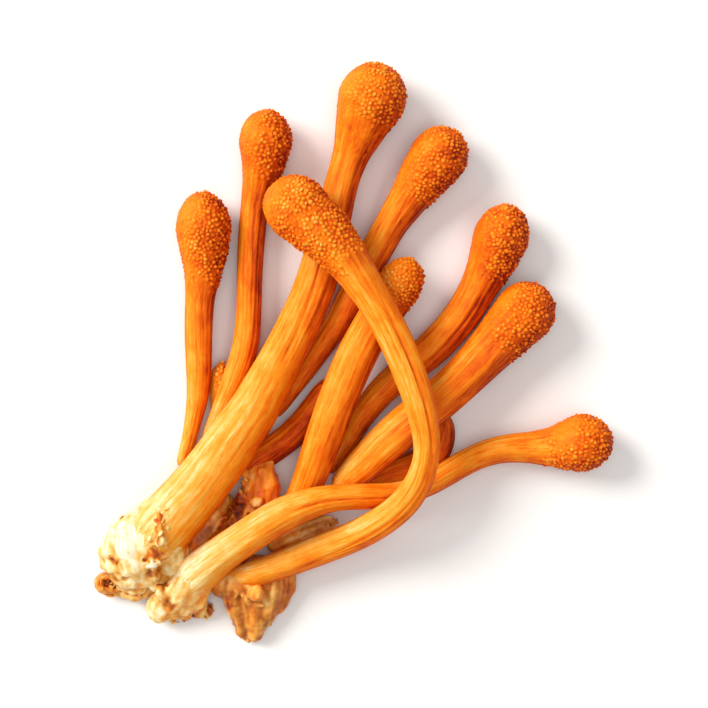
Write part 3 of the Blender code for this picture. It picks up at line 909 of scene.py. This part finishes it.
def grow_root_scrap():
    g = Growth(6, (-32.0, -30.0, -0.5), (-25.4, -23.8, 4.8), 0.09)
    ring = []
    for i in range(13):
        turn = i / 12 * 5.4 + 0.3
        height = 2.0 + 0.5 * math.sin(turn * 2)
        ring.append((-28.6 + 1.45 * math.cos(turn), -26.9 + 0.85 * math.sin(turn), height, 0.30))
    g.cord(ring, 0.15)
    g.cord([(a, b, c - 0.9, 0.42) for a, b, c, _ in ring], 0.3)
    g.lump((-28.6, -26.9, 0.9), (1.8, 1.3, 0.6), 0.3)
    g.flakes([ring[0][:3], ring[4][:3], ring[8][:3], ring[12][:3]], 15, 0.45, 0.22)
    g.flakes([(-30.0, -26.6, 1.6), (-28.6, -28.2, 1.2), (-27.2, -27.6, 1.6)], 8, 0.5, 0.25)
    g.roughen((1.0, 0.2, 0.0), 0.45)
    finish_base("root_scrap", g, 0.52, (
        (-28.4, -26.9, 1.0, 1.15, 0.28, 0.0), (-29.6, -27.2, 1.8, 1.6, -0.04, 0.5),
    ))


def grow_torn_strip():
    g = Growth(7, (-11.4, -25.2, -0.5), (-0.6, -17.6, 4.6), 0.1)
    g.cord([(-9.4, -22.4, 1.2, 0.8), (-7.8, -21.8, 1.3, 1.0), (-5.2, -20.8, 1.4, 0.9),
            (-3.4, -20.2, 1.4, 0.6)])
    g.cord([(-8.6, -22.6, 1.9, 0.3), (-6.2, -21.6, 2.1, 0.3), (-3.6, -20.4, 1.9, 0.25),
            (-1.9, -19.7, 1.6, 0.2)], 0.2)
    g.cord([(-8.0, -21.0, 1.8, 0.3), (-5.6, -20.0, 2.0, 0.3), (-2.9, -19.1, 1.7, 0.2)], 0.2)
    g.lump((-5.9, -20.9, 1.5), (4.0, 1.5, 0.5), 0.4, ((0.93, 0.37, 0.0), (-0.37, 0.93, 0.0),
            (0.0, 0.0, 1.0)))
    g.flakes([(-8.8, -22.2, 1.8), (-5.6, -20.8, 2.0), (-2.6, -19.8, 1.6)], 4, 0.8, 0.25, 0.3)
    g.flakes([(-3.2, -20.2, 1.6), (-1.8, -19.6, 1.4)], 6, 0.5, 0.2, 0.25)
    g.roughen((0.9, 0.4, 0.0), 0.55, 1.6)
    finish_base("torn_strip", g, 0.43, (
        (-8.0, -22.0, 1.8, 2.4, 0.04, 0.6), (-2.2, -19.8, 1.6, 1.2, 0.1, 0.0),
    ))


class Nodes:
    """A short way to write a material's nodes."""

    def __init__(self, name):
        self.material = bpy.data.materials.new(name)
        self.material.use_nodes = True
        self.tree = self.material.node_tree
        self.shader = self.tree.nodes["Principled BSDF"]

    def add(self, kind, **settings):
        node = self.tree.nodes.new(kind)
        for key, value in settings.items():
            setattr(node, key, value)
        return node

    def link(self, output, target):
        self.tree.links.new(output, target)

    def field(self, name):
        return self.add("ShaderNodeAttribute", attribute_name=name)

    def math(self, operation, first, second, clamp=False):
        node = self.add("ShaderNodeMath", operation=operation, use_clamp=clamp)
        for socket, value in zip(node.inputs, (first, second)):
            if isinstance(value, (int, float)):
                socket.default_value = value
            else:
                self.link(value, socket)
        return node.outputs[0]

    def ramp(self, value, *stops):
        node = self.add("ShaderNodeValToRGB")
        stops = [(place, hex_colour(colour)) for place, colour in stops]
        while len(node.color_ramp.elements) < len(stops):
            node.color_ramp.elements.new(0.5)
        for element, (place, colour) in zip(node.color_ramp.elements, stops):
            element.position = place
            element.color = colour
        self.link(value, node.inputs[0])
        return node.outputs[0]

    def mix(self, part, first, second):
        node = self.add("ShaderNodeMix", data_type="RGBA")
        # Sockets 6 and 7 take a colour mix's two colours.
        for socket, value in ((0, part), (6, first), (7, second)):
            self.link(value, node.inputs[socket])
        return node.outputs[2]

    def noise(self, where, scale, detail=3.0, rough=0.55):
        node = self.add("ShaderNodeTexNoise")
        node.inputs["Scale"].default_value = scale
        node.inputs["Detail"].default_value = detail
        node.inputs["Roughness"].default_value = rough
        self.link(where, node.inputs["Vector"])
        return node.outputs["Fac"]

    def swing(self, value, width):
        """A value from 0 to 1 as one that swings round 0."""
        return self.math("MULTIPLY", self.math("SUBTRACT", value, 0.5), width)

    def surface(self, colour, roughness, specular, scatter_colours, scatter_reach):
        self.link(colour, self.shader.inputs["Base Color"])
        self.shader.inputs["Roughness"].default_value = roughness
        self.shader.inputs["Specular IOR Level"].default_value = specular
        self.shader.inputs["Subsurface Weight"].default_value = 0.15
        self.shader.inputs["Subsurface Radius"].default_value = scatter_colours
        self.shader.inputs["Subsurface Scale"].default_value = scatter_reach

    def bump(self, height, distance):
        node = self.add("ShaderNodeBump")
        node.inputs["Strength"].default_value = 0.4
        node.inputs["Distance"].default_value = distance
        self.link(height, node.inputs["Height"])
        self.link(node.outputs[0], self.shader.inputs["Normal"])


def hex_colour(text):
    values = [int(text[i:i + 2], 16) / 255 for i in (1, 3, 5)]
    return [v / 12.92 if v < 0.04045 else ((v + 0.055) / 1.055) ** 2.4 for v in values] + [1.0]


def flesh_material():
    n = Nodes("cordyceps_flesh")
    strand = n.field("strand").outputs["Vector"]
    place = n.add("ShaderNodeTexCoord").outputs["Object"]
    head = n.field("head").outputs["Fac"]
    streaks = n.noise(strand, 1.7, 5.0, 0.58)
    hairlines = n.noise(strand, 9.0, 2.0, 0.5)
    blotches = n.noise(place, 420.0, 3.0, 0.55)
    lines = n.math("ADD", n.swing(streaks, 0.60), n.swing(hairlines, 0.28))
    fade = n.math("SUBTRACT", 1.0, n.math("MULTIPLY", head, 0.7))
    tone = n.math("ADD", n.field("tone").outputs["Fac"], n.math("MULTIPLY", lines, fade))
    tone = n.math("ADD", tone, n.swing(blotches, 0.40))
    threads = n.noise(strand, 5.5, 2.0, 0.5)
    dark = n.ramp(threads, (0.56, "#000000"), (0.68, "#FFFFFF"))
    light = n.ramp(threads, (0.32, "#FFFFFF"), (0.44, "#000000"))
    threads = n.math("SUBTRACT", n.math("MULTIPLY", dark, 0.12), n.math("MULTIPLY", light, 0.07))
    tone = n.math("ADD", tone, n.math("MULTIPLY", threads, fade))
    # Painted shade in the grooves of the stems and painted highlight on their raised strands.
    tone = n.math("ADD", tone, n.math("MULTIPLY", n.field("crease_shade").outputs["Fac"], 0.22), clamp=True)
    colour = n.ramp(
        tone, (0.0, "#ECDFB6"), (0.14, "#E8C278"), (0.30, "#EAA53E"), (0.48, "#EE8A14"),
        (0.66, "#E66A02"), (0.84, "#C64600"), (1.0, "#862000"),
    )
    n.surface(colour, 0.55, 0.12, (1.0, 0.32, 0.10), 0.0010)
    fine = n.noise(strand, 14.0, 3.0, 0.6)
    height = n.math("MULTIPLY", n.math("ADD", fine, n.math("MULTIPLY", streaks, 0.9)), fade)
    n.bump(height, 0.00014)
    return n.material


def tissue_material():
    n = Nodes("mycelium_tissue")
    place = n.add("ShaderNodeTexCoord").outputs["Object"]
    patches = n.noise(place, 520.0, 3.0, 0.6)
    specks = n.noise(place, 1900.0, 2.0, 0.6)
    tone = n.math("ADD", n.field("tone").outputs["Fac"], n.swing(patches, 0.28))
    tone = n.math("ADD", tone, n.swing(specks, 0.20), clamp=True)
    pale = n.ramp(
        tone, (0.0, "#EFE5C8"), (0.20, "#E9C880"), (0.38, "#DC9E46"), (0.55, "#C2741E"),
        (0.72, "#984C0C"), (0.88, "#642A06"), (1.0, "#301002"),
    )
    orange = n.ramp(
        tone, (0.0, "#F6CB78"), (0.3, "#F49C24"), (0.55, "#E86E08"), (0.8, "#B43E02"), (1.0, "#5E1C02"),
    )
    colour = n.mix(n.field("warm").outputs["Fac"], pale, orange)
    n.surface(colour, 0.46, 0.32, (1.0, 0.55, 0.25), 0.0008)
    n.bump(n.noise(place, 2200.0, 3.0, 0.6), 0.00015)
    return n.material


def plain_material(name, colour):
    n = Nodes(name)
    n.shader.inputs["Base Color"].default_value = hex_colour(colour)
    n.shader.inputs["Roughness"].default_value = 0.9
    n.shader.inputs["Specular IOR Level"].default_value = 0.1
    return n.material


def add_light(name, come_from, spread, strength, colour):
    """A soft light that falls evenly over everything from one direction."""
    data = bpy.data.lights.new(name, "SUN")
    data.angle = math.radians(spread)
    data.energy = strength
    data.color = colour
    light = bpy.data.objects.new(name, data)
    light.rotation_euler = Vector(come_from).to_track_quat("Z", "Y").to_euler()
    bpy.context.scene.collection.objects.link(light)


def set_stage(low, high):
    corners = [[-1, -1, 0], [1, -1, 0], [1, 1, 0], [-1, 1, 0]]
    floor = make_object("studio_floor", FLOOR_REACH * np.array(corners, float), [[0, 1, 2, 3]], {})
    floor.data.materials.append(plain_material("floor_white", "#F4F3F1"))
    world = bpy.data.worlds.new("studio_world")
    world.use_nodes = True
    world.node_tree.nodes["Background"].inputs["Color"].default_value = (1.0, 0.985, 0.97, 1.0)
    world.node_tree.nodes["Background"].inputs["Strength"].default_value = 0.52
    bpy.context.scene.world = world
    add_light("key", (-0.32, 0.19, 0.28), 34, 3.25, (1.0, 0.97, 0.93))
    add_light("top", (0.05, -0.05, 0.5), 45, 0.80, (1.0, 1.0, 1.0))
    data = bpy.data.cameras.new("camera")
    data.lens = LENS
    data.sensor_width = SENSOR
    data.clip_start, data.clip_end = 0.01, 20
    camera = bpy.data.objects.new("camera", data)
    middle = (low + high) / 2
    reach = max(high.x - low.x, high.y - low.y) / FILLED / 2
    camera.location = (middle.x, middle.y, high.z + reach / (SENSOR / 2 / LENS))
    bpy.context.scene.collection.objects.link(camera)
    bpy.context.scene.camera = camera
    bpy.context.scene.view_settings.view_transform = "Standard"


clear_scene()
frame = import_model()
cad_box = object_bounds()
flesh = flesh_material()
tissue = tissue_material()

low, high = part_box("base_middle")
base_point = np.array((low + high) / 2) / MM
for number, name in enumerate(sorted(LOOKS)):
    grow_body(name, number, base_point)
for grow in (grow_base_left, grow_base_middle, grow_base_right, grow_base_upper,
             grow_base_between, grow_root_scrap, grow_torn_strip):
    grow()
set_stage(*cad_box)
